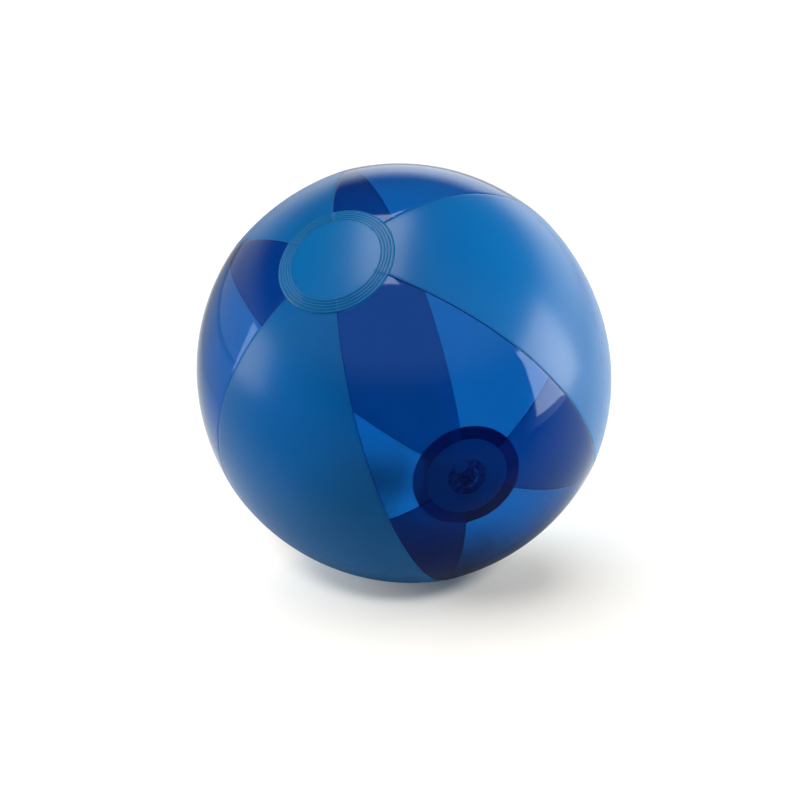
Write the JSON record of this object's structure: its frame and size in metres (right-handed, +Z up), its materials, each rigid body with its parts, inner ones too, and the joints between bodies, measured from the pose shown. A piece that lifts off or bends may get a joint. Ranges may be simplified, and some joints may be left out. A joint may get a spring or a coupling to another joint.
{
  "type": "inflatable beach ball",
  "caption": "Inflated beach ball of frosted and clear vinyl gores with round end discs, and a push-in valve with a tethered plug and a one-way flap.",
  "frame": {"origin": "centre of the inflated ball, which is the centre of its bounding box", "axes": "+Z is up, away from the ground contact; the plain pole leans towards -X and -Y, and the valve pole is opposite it, below and behind"},
  "size_m": [0.2384, 0.2409, 0.2423],
  "materials": {
    "frosted_film": "satin",
    "clear_film": "gloss",
    "disc_film": "satin",
    "valve_vinyl": "satin",
    "flap_film": "satin"
  },
  "bodies": {
    "shell": {"gore_front_clear": "clear_film", "gore_right_frosted": "frosted_film", "gore_top_clear": "clear_film", "gore_top_left_frosted": "frosted_film", "gore_left_clear": "clear_film", "gore_bottom_frosted": "frosted_film", "plain_disc": "disc_film", "valve_disc": "disc_film", "valve_flange": "valve_vinyl", "valve_web": "valve_vinyl"},
    "stem": {"valve_stem": "valve_vinyl"},
    "plug": {"valve_plug": "valve_vinyl", "plug_strap": "valve_vinyl"},
    "flap": {"valve_flap": "flap_film"}
  },
  "joints": [
    {"name": "valve_travel", "type": "slide", "parent": "shell", "child": "stem", "axis": [0.3182, 0.5445, -0.776], "range_m": [0, 0.012], "deforming": ["valve_web"]},
    {"name": "plug_swing", "type": "hinge", "parent": "stem", "child": "plug", "pos_m": [0.0409, 0.06999, -0.0896], "axis": [0.8634, -0.5045, 0], "range_deg": [0, 150], "deforming": ["plug_strap"]},
    {"name": "flap_swing", "type": "hinge", "parent": "stem", "child": "flap", "pos_m": [0.03217, 0.05505, -0.08639], "axis": [0.8634, -0.5045, 0], "range_deg": [0, 60], "stiffness_Nm_per_rad": 0.00005, "springref_deg": -5.73}
  ]
}
